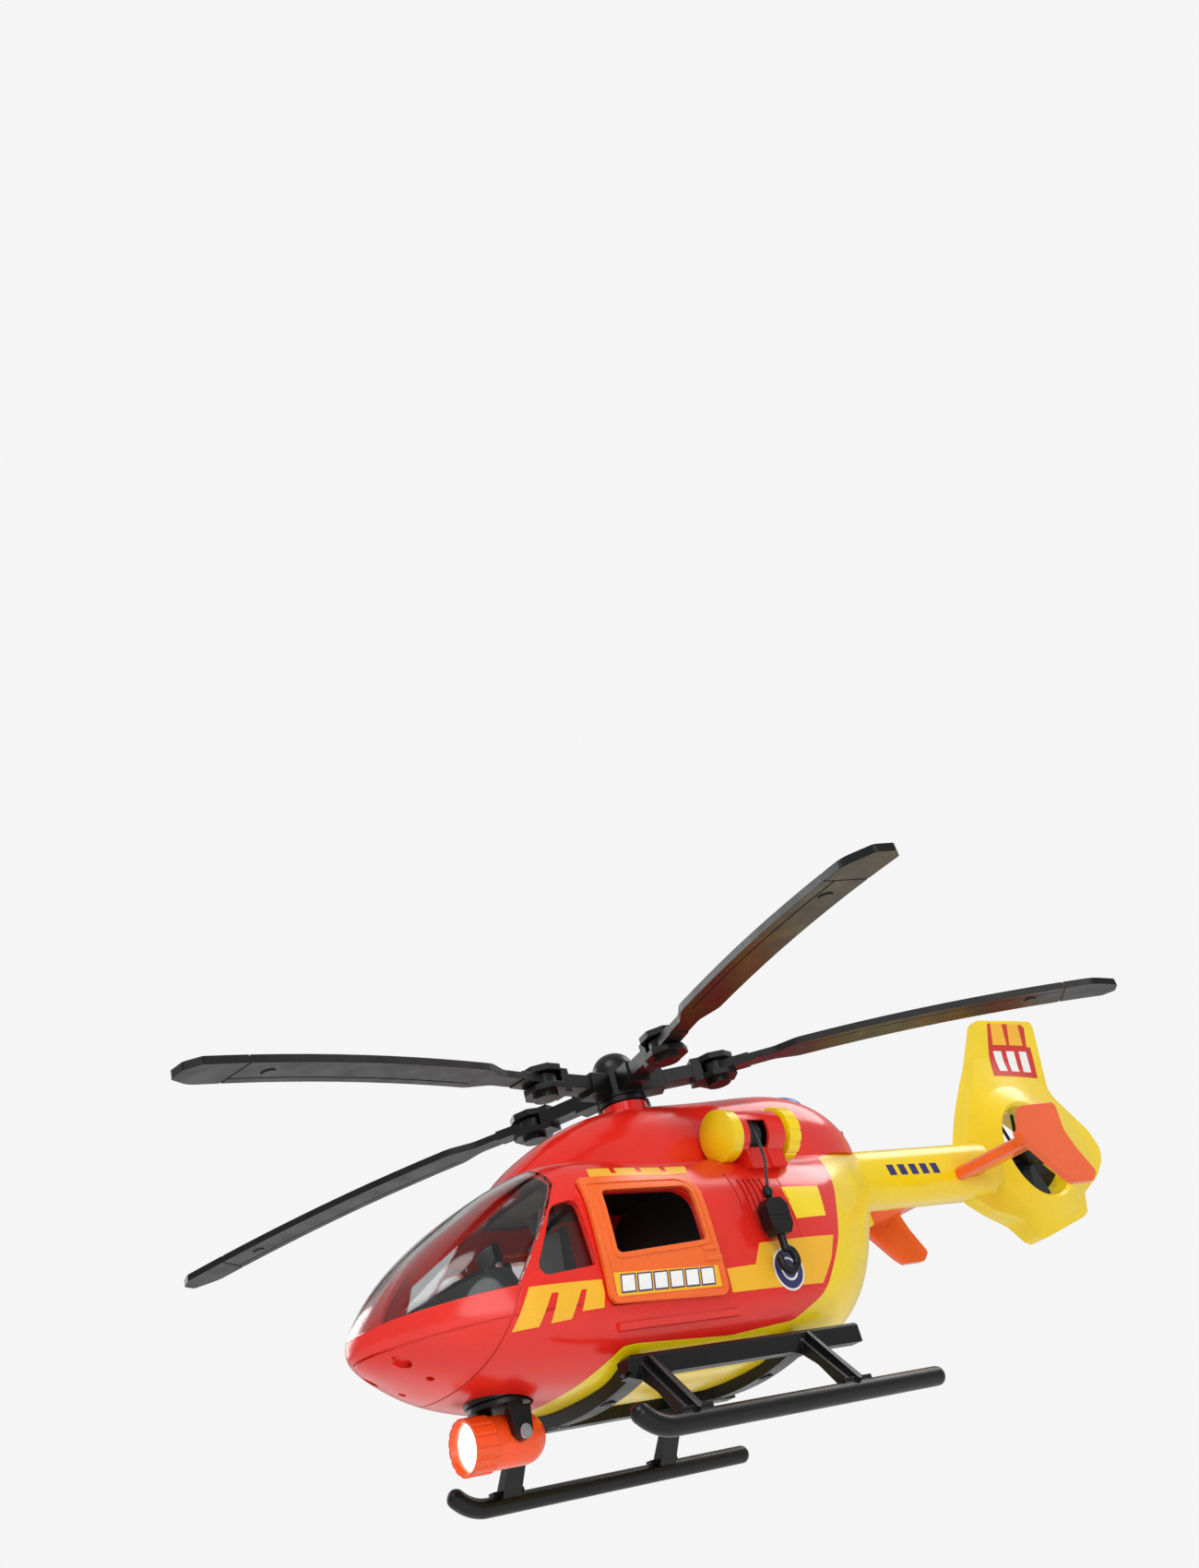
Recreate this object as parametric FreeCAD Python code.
import FreeCAD, Part
import os
from math import cos, degrees, pi, radians, sin, tan

# Toy rescue helicopter, millimetres. +X nose, +Y port, +Z up.
# The mast axis is the Z axis, and the skids stand on z = 0.

# ---- driving dimensions ----------------------------------------------------
NOSE_X = 109.8
TAIL_X = -249.3
TRACK_HALF = 45.2
SKID_R = 2.7
SKID_FLAT = 0.1            # how much of the tube's underside is taken off flat
HALF_WIDTH = 33.0
WALL = 2.0
GLASS_WALL = 1.3
GAP = 0.35               # running gap between faces that slide past each other
SHAFT_CLEARANCE = 0.05   # radial, shafts in their bearings

# hull stations: x, half width, belly z, widest z, roof z
HULL_STATIONS = [
    (108.3, 6.6, 36.4, 40.4, 44.6),
    (104.4, 12.2, 33.6, 40.8, 49.6),
    (97.6, 19.0, 30.4, 41.4, 56.4),
    (86.0, 26.8, 25.6, 42.2, 65.2),
    (70.0, 31.5, 21.6, 43.0, 74.4),
    (52.0, 33.0, 19.2, 44.0, 81.0),
    (20.0, 33.0, 18.3, 44.0, 81.4),
    (-20.0, 32.7, 18.5, 45.0, 81.5),
    (-45.0, 29.8, 22.0, 49.0, 82.0),
    (-63.0, 24.2, 31.0, 58.0, 83.6),
    (-79.0, 16.6, 47.0, 68.0, 85.2),
    (-92.0, 9.0, 64.0, 75.3, 86.6),
]
HULL_LOW_N = [2.1, 2.1, 2.2, 2.4, 2.7, 3.0, 3.1, 3.0, 2.7, 2.5, 2.3, 2.2]
HULL_UP_N = [2.1, 2.2, 2.4, 2.7, 3.0, 3.3, 3.3, 3.2, 3.0, 2.8, 2.6, 2.4]

# cowling stations: x, half width, bottom z, widest z, top z
COWL_STATIONS = [
    (57.0, 9.0, 68.0, 75.0, 79.6),
    (46.0, 12.8, 66.0, 77.0, 88.0),
    (31.0, 15.4, 66.0, 78.0, 95.6),
    (15.0, 16.8, 66.0, 78.0, 100.4),
    (-4.0, 17.4, 66.0, 78.0, 102.6),
    (-26.0, 17.6, 66.0, 78.0, 103.9),
    (-47.0, 17.4, 68.0, 79.0, 105.6),
    (-62.0, 16.4, 70.0, 80.0, 105.6),
    (-75.0, 14.4, 74.0, 82.0, 102.6),
    (-85.0, 11.0, 77.0, 84.0, 97.2),
    (-91.5, 7.2, 79.0, 84.6, 90.2),
]
COWL_N = 2.7

# rotor
HUB_Z = 111.0
SCREW_CIRCLE_R = 33.4
ROTOR_R = 167.5
BLADE_CHORD = 12.8
BLADE_THICK = 2.2
BLADE_DROOP = 10.5
ROTOR_PHASE = 7.7
BLADE_COUNT = 5
BLADE_LAG = [5.2, -5.4, -15.0, 0.0, 8.5]   # how each blade hangs on its screw, degrees
MAST_R = 2.0

# tail
BOOM_START = -92.0
BOOM_END = -166.0
SPIGOT_INSET = 2.15         # the boom's root plugs into the hull's open end
DUCT_X, DUCT_Z = -196.0, 82.0
DUCT_R = 18.2
SHROUD_HALF = 8.8
FIN_HALF = 3.0

BEACON_X, BEACON_Z = -70.0, 102.6

# winch: cord on a drum whose axis runs along X
WINCH_Y, WINCH_Z = 26.0, 83.9
WINCH_R = 7.6
WINCH_WALL = 1.0
WINCH_X = (-33.6, -15.4)
KNOB_X = (-39.8, -34.9)
DRUM_R = 3.2
FLANGE_R = 6.2
WINDING_X = (-27.4, -17.9)
WINDING_LAYERS = 2
CORD_D = 1.1

# hook and its cord
HOOK_X, HOOK_Y = -13.8, 37.4
KNOT_Z = 61.8
BLOCK_Z = (48.9, 59.5)
HOOK_RING_R = 3.2
HOOK_WIRE_R = 1.2
HOOK_RING_Z = 41.8
CORD_ROUTE = [
    (-22.4, 31.6, 81.9),
    (-21.6, 32.9, 77.2),
    (-19.6, 34.8, 72.6),
    (-16.8, 36.5, 68.2),
    (-14.5, 37.3, 63.6),
]

# spotlight
SPOT_X, SPOT_Z = 69.6, 12.6
SPOT_R = 6.6
SPOT_X_SPAN = (58.2, 82.8)
BEZEL_X = 76.0
BEZEL_R = 7.1
SPOT_PLATE_R = 8.5

# doors
DOOR_X = (8.0, 50.4)
DOOR_Z = (34.6, 70.8)
DOOR_SKIN = 1.2
DOOR_OFFSET = 0.45
DOOR_TRAVEL = 34.6
LUG_X = 47.2               # rear face of the lugs that hold a door to the hull
LUG_Z = (36.4, 68.9)


# ---- helpers ---------------------------------------------------------------
def vec(x, y, z):
    return FreeCAD.Vector(x, y, z)


def save(name, shape):
    """Write one node and say what it holds."""
    solids = shape.Solids
    shape = solids[0] if len(solids) == 1 else Part.makeCompound(solids)
    shape.exportStep("parts/" + name + ".step")
    state = "valid" if shape.isValid() else "INVALID"
    print(name, len(solids), "solid(s)", round(shape.Volume / 1000.0, 3), "cm3", state)


def superellipse(half_y, low, waist, high, n_low, n_up, count=24):
    """Closed outline in (y, z), widest at the waist, starting at the top."""
    points = []
    for i in range(count):
        a = 2.0 * pi * i / count + pi / 2.0
        c, s = cos(a), sin(a)
        n = n_up if s >= 0 else n_low
        reach = (high - waist) if s >= 0 else (waist - low)
        y = half_y * (1 if c >= 0 else -1) * abs(c) ** (2.0 / n)
        z = waist + reach * (1 if s >= 0 else -1) * abs(s) ** (2.0 / n)
        points.append((y, z))
    return points


def closed_curve(points):
    count = len(points)
    curve = Part.BSplineCurve()
    parameters = [i / count for i in range(count + 1)]
    curve.interpolate(Points=points, PeriodicFlag=True, Parameters=parameters)
    return Part.Wire([curve.toShape()])


def section_wire(x, outline):
    return closed_curve([vec(x, y, z) for y, z in outline])


HULL_FORMS = {}


def hull_solid(inset):
    """The hull's outer form, or the same form with every wall moved in."""
    if inset in HULL_FORMS:
        return HULL_FORMS[inset]
    parts = [Part.Vertex(vec(NOSE_X - inset, 0, 40.2))]
    for (x, w, low, waist, high), n_low, n_up in zip(HULL_STATIONS, HULL_LOW_N, HULL_UP_N):
        if x > NOSE_X - 1.4 - inset:
            continue
        outline = superellipse(w - inset, low + inset, waist, high - inset, n_low, n_up)
        parts.append(section_wire(x, outline))
    HULL_FORMS[inset] = Part.makeLoft(parts, True, False)
    return HULL_FORMS[inset]


def cowl_solid(inset):
    parts = []
    for x, w, low, waist, high in COWL_STATIONS:
        outline = superellipse(w - inset, low + inset, waist, high - inset, COWL_N, COWL_N)
        parts.append(section_wire(x, outline))
    return Part.makeLoft(parts, True, False)


def box(x0, x1, y0, y1, z0, z1):
    return Part.makeBox(x1 - x0, y1 - y0, z1 - z0, vec(x0, y0, z0))


def cyl(radius, start, end):
    axis = vec(*end) - vec(*start)
    return Part.makeCylinder(radius, axis.Length, vec(*start), axis)


def cone(r0, r1, start, end):
    axis = vec(*end) - vec(*start)
    return Part.makeCone(r0, r1, axis.Length, vec(*start), axis)


def fuse_all(shapes):
    result = shapes[0]
    if len(shapes) > 1:
        result = shapes[0].fuse(shapes[1:])
    return result.removeSplitter()


def rounded_outline(points, radii):
    """Closed polygon with rounded corners, no corner taking more than half of an edge."""
    count = len(points)
    starts, ends, middles = [], [], []
    for i in range(count):
        p = points[i]
        before, after = points[i - 1] - p, points[(i + 1) % count] - p
        shorter = min(before.Length, after.Length)
        before.normalize()
        after.normalize()
        half = before.getAngle(after) / 2.0
        r = radii[i] if isinstance(radii, (list, tuple)) else radii
        r = min(r, 0.49 * shorter * tan(half))
        starts.append(p + before * (r / tan(half)))
        ends.append(p + after * (r / tan(half)))
        bisector = (before + after).normalize()
        middles.append(p + bisector * (r / sin(half) - r) if r > 0 else None)
    edges = []
    for i in range(count):
        if middles[i] is not None:
            edges.append(Part.Arc(starts[i], middles[i], ends[i]).toShape())
        nxt = starts[(i + 1) % count]
        if (nxt - ends[i]).Length > 1e-6:
            edges.append(Part.makeLine(ends[i], nxt))
    return Part.Wire(edges)


def prism_xz(points, y0, y1, radii=0):
    """Profile given in (x, z), standing from y0 to y1."""
    wire = rounded_outline([vec(x, y0, z) for x, z in points], radii)
    return Part.Face(wire).extrude(vec(0, y1 - y0, 0))


def prism_xy(points, z0, z1, radii=0):
    wire = rounded_outline([vec(x, y, z0) for x, y in points], radii)
    return Part.Face(wire).extrude(vec(0, 0, z1 - z0))


def prism_yz(points, x0, x1, radii=0):
    wire = rounded_outline([vec(x0, y, z) for y, z in points], radii)
    return Part.Face(wire).extrude(vec(x1 - x0, 0, 0))


def mirrored(shape):
    return shape.mirror(vec(0, 0, 0), vec(0, 1, 0))


def turned(shape, angle, centre=(0, 0, 0), axis=(0, 0, 1)):
    copy = shape.copy()
    copy.rotate(vec(*centre), vec(*axis), angle)
    return copy


def moved(shape, x, y, z):
    copy = shape.copy()
    copy.translate(vec(x, y, z))
    return copy


def scalloped_disc(radius, depth, count, x0, x1, centre):
    """Disc along X with round bites in its rim, such as a knob's grip."""
    cy, cz = centre
    body = cyl(radius, (x0, cy, cz), (x1, cy, cz))
    bites = []
    for i in range(count):
        a = 2.0 * pi * (i + 0.5) / count
        y = cy + (radius + depth) * cos(a)
        z = cz + (radius + depth) * sin(a)
        bites.append(cyl(2.0 * depth, (x0 - 1, y, z), (x1 + 1, y, z)))
    return body.cut(bites)


def gear(teeth, module, bore_r, z0, z1, centre, phase):
    """Spur gear with straight-flanked teeth and running backlash."""
    cx, cy = centre
    pitch_r = teeth * module / 2.0
    root_r = pitch_r - 1.25 * module
    tip_r = pitch_r + 0.85 * module
    step = 2.0 * pi / teeth
    points = []
    for i in range(teeth):
        mid = phase + i * step
        for r, share in ((root_r, -0.33), (pitch_r, -0.22), (tip_r, -0.11),
                         (tip_r, 0.11), (pitch_r, 0.22), (root_r, 0.33)):
            a = mid + share * step
            points.append((cx + r * cos(a), cy + r * sin(a)))
    body = prism_xy(points, z0, z1)
    return body.cut(cyl(bore_r, (cx, cy, z0 - 1), (cx, cy, z1 + 1)))


os.makedirs("parts", exist_ok=True)

# ---- hull forms shared by several nodes ------------------------------------
hull_outer = hull_solid(0.0)
hull_inner = hull_solid(WALL)
cowl_outer = cowl_solid(0.0)
cowl_inner = cowl_solid(WALL)
glass_inner = hull_solid(GLASS_WALL)

# side outline of the windscreen, which wraps from side to side over the nose
SCREEN = [(130, 39.4), (104, 43.4), (76.2, 44.2), (56.6, 71.0), (55.4, 100), (130, 100)]
screen_tool = prism_xz(SCREEN, -60, 60)

# side outline of the yellow tub: a low belly that turns up behind the cabin
TUB = [(60, 0), (57.6, 18.6), (46.6, 26.0), (42.0, 26.2), (8.0, 25.0), (-17, 26.6),
       (-32, 33.0), (-46.0, 49.0), (-55.0, 66.0), (-60.0, 78.6), (-71, 81.2), (-99, 84.2), (-99, 0)]
TUB_RADII = [0, 2, 4, 4, 40, 14, 20, 30, 30, 5, 6, 0, 0]
tub_tool = prism_xz(TUB, -60, 60, TUB_RADII)


def door_outline(grow):
    x0, x1 = DOOR_X[0] - grow, DOOR_X[1] + grow
    z0, z1 = DOOR_Z[0] - grow, DOOR_Z[1] + grow
    return [(x0 + 1.2, z0), (x1 + 1.0, z0 + 1.2), (x1, z1 + 0.4), (x0 + 0.5, z1)]


def half_space(side):
    """Everything on one side of the middle plane."""
    return box(-300, 300, 0, 300, -50, 300) if side > 0 else box(-300, 300, -300, 0, -50, 300)


def build_hull():
    """One red moulding: nose, sides, roof and engine cowling."""
    collar = cyl(7.75, (0, 0, 92), (0, 0, 104.2))
    outer = hull_outer.fuse([cowl_outer, collar])
    shell = outer.cut(hull_inner.fuse(cowl_inner)).cut([screen_tool, tub_tool])
    # hollow beside the roof that the winch's hand knob turns in
    shell = shell.cut(cyl(9.0, (KNOB_X[0] - 0.5, WINCH_Y, WINCH_Z), (KNOB_X[1] + 0.9, WINCH_Y, WINCH_Z)))
    bearing = cyl(5.2, (0, 0, GEAR_Z[1] + 0.9), (0, 0, 103.0))
    shell = shell.fuse(bearing).cut(cyl(MAST_R + SHAFT_CLEARANCE, (0, 0, 80), (0, 0, 110)))
    doorway = prism_xz([(11.4, 38.4), (48.6, 38.4), (48.0, 66.6), (11.0, 66.6)], -60, 60, [3, 3, 3, 6])
    window = prism_xz([(51.8, 46.6), (71.6, 45.2), (61.2, 64.0), (52.8, 65.4)], -60, 60, [1.5, 2.5, 5, 2.5])
    shell = shell.cut([doorway, window])
    # panel seams
    skin = hull_outer.cut(hull_solid(0.35))
    seams = [
        box(60, 115, -60, 60, 36.6, 37.1),
        prism_xz([(88, 20), (88.5, 20), (76.0, 43.6), (75.5, 43.6)], -60, 60),
        box(-7.0, -6.5, -60, 60, 48, 71),
        box(-27.4, -26.9, -60, 60, 48, 71),
    ]
    shell = shell.cut([skin.common(seam) for seam in seams])
    # engine bay louvres on both sides, behind the doors
    louvre_skin = hull_outer.cut(hull_solid(0.7))
    louvres = [box(x - 0.55, x + 0.55, -60, 60, 52, 68.5) for x in (-10.0, -12.3, -14.6, -16.9, -19.2)]
    shell = shell.cut([louvre_skin.common(louvre) for louvre in louvres])
    # blind recesses in the nose, a wide and a narrow one each side
    recess_floor = hull_solid(1.4)
    for side in (1, -1):
        wide = cyl(2.0, (96, side * 8.4, 35.0), (110, side * 9.6, 31.7))
        narrow = cyl(1.1, (91.5, side * 7.2, 31.5), (96, side * 7.8, 25.5))
        shell = shell.cut([wide.cut(recess_floor), narrow.cut(recess_floor)])
    # long step under each door
    step_skin = hull_solid(-1.0).cut(hull_solid(WALL / 2.0))
    for side in (1, -1):
        shell = shell.fuse(step_skin.common(box(6.0, 49.0, -60, 60, 29.2, 31.0)).common(half_space(side)))
    # slots that the doors' lugs run in, hidden while the doors are shut
    for z in LUG_Z:
        shell = shell.cut(box(LUG_X - DOOR_TRAVEL - 0.6, LUG_X + 2.4 + 0.6, -60, 60, z - 0.8, z + 0.8))
    # exhaust at the rear of the cowling
    shell = shell.fuse(box(-93.6, -87.0, -4.2, 4.2, 89.2, 93.0).cut(cowl_inner))
    # tongue in the nose and centre post, behind the windscreen
    post = prism_xz([(109, 38), (109, 44), (95.5, 58.0), (57.5, 82), (50, 82), (50, 76), (54, 76), (91, 53.5),
                     (96, 42)], -3.2, 3.2).common(glass_inner)
    tongue = prism_xz([(112, 38), (112, 46), (96, 60.0), (90, 55), (90, 40)], -8.5, 8.5)
    tongue = tongue.common(glass_inner).cut(hull_solid(GLASS_WALL + 1.6))
    shell = shell.fuse(post.fuse(tongue).cut(box(40, 130, -20, 20, 10, 39.2)))
    # seats of the beacon and of the spotlight
    return shell.cut([beacon_form(0.0), cyl(SPOT_PLATE_R + 0.7, (SPOT_X, 0, 10), (SPOT_X, 0, 26))])


def beacon_form(inset):
    """Long low dome, standing in the top of the cowling."""
    dome = Part.makeSphere(1.0)
    stretch = FreeCAD.Matrix()
    stretch.scale(vec(10.5 - inset, 6.2 - inset, 4.4 - inset))
    dome = dome.transformGeometry(stretch)
    return moved(dome, BEACON_X, 0, BEACON_Z)


def boom_section(x, inset):
    share = (BOOM_START - x) / (BOOM_START - BOOM_END)
    half = 8.8 - 0.9 * share - inset
    low = 65.4 + 1.1 * share + inset
    high = 85.6 + 1.9 * share - inset
    return superellipse(half, low, (low + high) / 2.0, high, 2.7, 2.7)


def boom_solid(inset, x0, x1):
    stations = [x0, (x0 + x1) / 2.0, x1]
    return Part.makeLoft([section_wire(x, boom_section(x, inset)) for x in stations], True, False)


# side outline of fin, shroud and belly fin
FIN = [(-159.5, 86.2), (-198.6, 138.8), (-200.3, 140.4), (-236.6, 141.2), (-238.4, 139.2), (-229.2, 109.6),
       (-230.4, 105.8), (-246.2, 91.6), (TAIL_X, 83.8), (-246.5, 78.0), (-237.0, 71.4), (-219.8, 64.4),
       (-217.6, 56.9), (-213.8, 55.2), (-185.4, 48.6), (-182.0, 49.8), (-176.4, 56.2), (-163.0, 61.0),
       (-150.0, 68.6)]
FIN_RADII = [6, 2, 1.0, 1.0, 1.5, 6, 10, 9, 5, 9, 20, 3, 1.5, 2, 1.5, 2, 8, 12, 20]


def shroud_body():
    """Domed ring round the duct: a turned form that thins out to the fin."""
    p = [vec(0, 0, 0), vec(0, SHROUD_HALF, 0), vec(DUCT_R + 1.6, SHROUD_HALF, 0)]
    shoulder = vec(DUCT_R + 9.0, SHROUD_HALF - 3.0, 0)
    rim = Part.Arc(p[2], vec(DUCT_R + 5.0, SHROUD_HALF - 1.2, 0), shoulder).toShape()
    slope = Part.Arc(shoulder, vec(DUCT_R + 20.0, 3.2, 0), vec(DUCT_R + 34.0, 1.2, 0)).toShape()
    edges = [Part.makeLine(p[0], p[1]), Part.makeLine(p[1], p[2]), rim, slope,
             Part.makeLine(vec(DUCT_R + 34.0, 1.2, 0), vec(DUCT_R + 34.0, 0, 0)),
             Part.makeLine(vec(DUCT_R + 34.0, 0, 0), p[0])]
    half = Part.Face(Part.Wire(edges)).revolve(vec(0, 0, 0), vec(0, 1, 0), 360)
    whole = half.fuse(mirrored(half))
    return moved(whole, DUCT_X, 0, DUCT_Z)


def fin_solid():
    """Upper fin, tapered in thickness towards its top and trailing edge."""
    plate = prism_xz(FIN, -FIN_HALF, FIN_HALF, FIN_RADII)
    taper = prism_yz([(-FIN_HALF - 0.6, 40), (FIN_HALF + 0.6, 40), (FIN_HALF, 100), (2.3, 144), (-2.3, 144),
                      (-FIN_HALF, 100)], -260, -140)
    wedge = prism_xy([(-140, -4.2), (-205, -3.2), (-251, -1.3), (-251, 1.3), (-205, 3.2), (-140, 4.2)],
                     40, 150)
    return plate.common(taper).common(wedge)


def tail_solid():
    boom = boom_solid(0.0, BOOM_START, BOOM_END)
    spigot = boom_solid(SPIGOT_INSET, BOOM_START + 6.0, BOOM_START - 6.0)
    outline = prism_xz(FIN, -12, 12, FIN_RADII)
    ring = shroud_body().common(outline.fuse(boom_solid(0.0, -140.0, BOOM_END)))
    nose = Part.makeSphere(1.0)
    stretch = FreeCAD.Matrix()
    stretch.scale(vec(16.0, 7.8, 10.4))
    nose = moved(nose.transformGeometry(stretch), BOOM_END + 1.0, 0, 77.1)
    body = boom.fuse([spigot, fin_solid(), ring, nose.common(outline.fuse(boom))])
    hollow = boom_solid(SPIGOT_INSET + 1.2, BOOM_START + 7.0, BOOM_END + 14.0)
    duct = cyl(DUCT_R, (DUCT_X, -20, DUCT_Z), (DUCT_X, 20, DUCT_Z))
    body = body.cut([hollow, duct])
    lip = cone(DUCT_R + 1.2, DUCT_R, (DUCT_X, SHROUD_HALF, DUCT_Z), (DUCT_X, SHROUD_HALF - 1.2, DUCT_Z))
    body = body.cut([lip, mirrored(lip)])
    body = body.cut(stabilizer_arm(0.0))
    return body


def stabilizer_arm(grow):
    points = [(-141.5, 72.2), (-141.5, 75.0), (-143.4, 76.2), (-155.5, 75.9), (-158.0, 74.6), (-155.6, 73.2),
              (-143.4, 71.6)]
    return prism_xz(points, -42.2 - grow, 42.2 + grow)


def build_stabilizer():
    plate = [(-144.0, 85.2), (-164.6, 86.4), (-163.2, 75.6), (-166.0, 69.2), (-172.2, 59.8), (-168.2, 56.6),
             (-157.0, 56.4), (-153.4, 58.6), (-136.6, 74.0)]
    radii = [2.0, 2.0, 6, 6, 1.5, 1.5, 1.5, 2, 4]
    left = prism_xz(plate, 41.8, 44.2, radii)
    fillet_bead = prism_xz([(-138.6, 70.8), (-137.8, 76.8), (-158.0, 77.0), (-160.2, 72.6)], 40.4, 41.8, 1.0)
    return fuse_all([stabilizer_arm(0.0), left, mirrored(left), fillet_bead, mirrored(fillet_bead)])


def build_tail():
    body = tail_solid()
    body = body.cut(cowl_outer)
    port = body.common(box(-300, 0, 0, 60, 0, 200))
    starboard = body.common(box(-300, 0, -60, 0, 0, 200))
    # three struts and a bush carry the fan's axle on the starboard side
    struts = [cyl(4.0, (DUCT_X, -8.0, DUCT_Z), (DUCT_X, -5.2, DUCT_Z))]
    for i in range(3):
        bar = box(2.0, DUCT_R + 1.0, -8.0, -6.0, -1.0, 1.0)
        bar = turned(bar, 60.0 + 120.0 * i, axis=(0, 1, 0))
        struts.append(moved(bar, DUCT_X, 0, DUCT_Z))
    starboard = starboard.fuse(struts)
    starboard = starboard.cut(cyl(1.0, (DUCT_X, -9, DUCT_Z), (DUCT_X, 9, DUCT_Z)))
    # assembly screws through the starboard half into the port half
    for x, z in TAIL_SCREWS:
        starboard = starboard.cut(tail_screw(x, z))
        port = port.cut(tail_screw(x, z))
    return port, starboard


TAIL_SCREWS = [(-208.0, 126.0), (-178.5, 66.0), (-232.0, 84.0)]


def tail_screw(x, z):
    head = cyl(2.2, (x, -2.3, z), (x, -0.9, z))
    shank = cyl(0.9, (x, -0.9, z), (x, 1.3, z))
    cross = box(x - 1.3, x + 1.3, -2.4, -1.7, z - 0.3, z + 0.3)
    cross2 = box(x - 0.3, x + 0.3, -2.4, -1.7, z - 1.3, z + 1.3)
    return head.fuse(shank).cut([cross, cross2])


def build_tail_fan():
    """Ten wide blades on a hub that turns on the axle."""
    hub = cyl(4.6, (DUCT_X, -4.6, DUCT_Z), (DUCT_X, 3.4, DUCT_Z))
    spinner = Part.makeSphere(4.6, vec(DUCT_X, 3.4, DUCT_Z)).common(
        box(DUCT_X - 6, DUCT_X + 6, 3.4, 6.0, DUCT_Z - 6, DUCT_Z + 6))
    blades = []
    for i in range(10):
        blade = box(4.0, DUCT_R - 0.9, -0.6, 0.6, -3.0, 3.0)
        blade = turned(blade, 35.0, axis=(1, 0, 0))
        blades.append(moved(turned(blade, 36.0 * i, axis=(0, 1, 0)), DUCT_X, -0.6, DUCT_Z))
    fan = hub.fuse([spinner] + blades)
    fan = fan.common(cyl(DUCT_R - 0.9, (DUCT_X, -8, DUCT_Z), (DUCT_X, 8, DUCT_Z)))
    return fan.cut(cyl(1.0 + SHAFT_CLEARANCE, (DUCT_X, -9, DUCT_Z), (DUCT_X, 2.0, DUCT_Z)))


# ---- cabin -----------------------------------------------------------------
def build_windscreen():
    shell = hull_outer.cut(glass_inner)
    return shell.common(screen_tool)


def build_side_window(side):
    """Pane glued behind the cockpit side window, a little larger than its opening."""
    pane = prism_xz([(50.9, 45.4), (73.2, 43.9), (62.0, 65.2), (51.4, 66.6)], -60, 60, [2, 2.5, 5, 3])
    skin = hull_solid(WALL + 0.05).cut(hull_solid(WALL + 1.0))
    half = box(0, 120, 0, 60, 0, 120) if side > 0 else box(0, 120, -60, 0, 0, 120)
    return skin.common(pane).common(half)


FLOOR_Z = 33.6
CABIN_AFT = -4.0


def build_cabin_floor():
    """Grey-black inner tray: floor, firewall behind the cabin, and a ceiling."""
    inside = hull_solid(WALL + 1.6)
    floor = box(CABIN_AFT, 78, -40, 40, FLOOR_Z - 1.8, FLOOR_Z)
    firewall = box(CABIN_AFT, CABIN_AFT + 1.8, -40, 40, FLOOR_Z - 1.8, 76)
    ceiling = box(CABIN_AFT, 50, -22, 22, 75.0, 76.6)
    riser = box(49.0, 50.8, -40, 40, FLOOR_Z, FLOOR_Z + 7)
    return floor.fuse([firewall, ceiling, riser]).common(inside).removeSplitter()


def build_dashboard():
    """Coaming under the windscreen with a sloping panel and a centre console."""
    inside = hull_solid(GLASS_WALL + 1.1)
    coaming = prism_xz([(99, 42.8), (99, 44.6), (80.5, 50.0), (76.4, 49.6), (73.6, 42.8)], -40, 40)
    console = box(62.0, 76.5, -5.0, 5.0, FLOOR_Z, 44.0)
    hood = prism_xz([(90, 43), (88, 49.4), (77.4, 53.0), (76.4, 43)], -17, 17, [0, 2, 1, 0])
    sides = coaming.fuse([console, hood]).common(inside)
    return sides.cut(prism_xz([(112, 30), (112, 50), (96, 62), (90, 57), (90, 30)], -8.7, 8.7)).cut(
        prism_xz([(109, 36), (109, 46), (95.5, 60), (57.5, 82), (54, 74), (89, 51.5), (89, 36)], -3.4, 3.4))


def build_seat(side):
    y = side * 14.5
    base = prism_xz([(54.0, FLOOR_Z), (69.0, FLOOR_Z), (70.0, 40.6), (54.8, 39.8)], y - 8.5, y + 8.5,
                    [0, 0, 2, 1])
    back = prism_xz([(51.2, 39.0), (56.0, 38.6), (54.2, 60.4), (51.2, 60.6)], y - 8.0, y + 8.0,
                    [0, 0, 1.2, 1.2])
    head = prism_xz([(51.2, 61.8), (54.0, 61.6), (54.4, 68.0), (51.6, 68.2)], y - 4.6, y + 4.6, 1.0)
    stalk = box(52.0, 53.4, y - 1.5, y + 1.5, 59.8, 62.2)
    return fuse_all([base, back, head, stalk])


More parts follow.
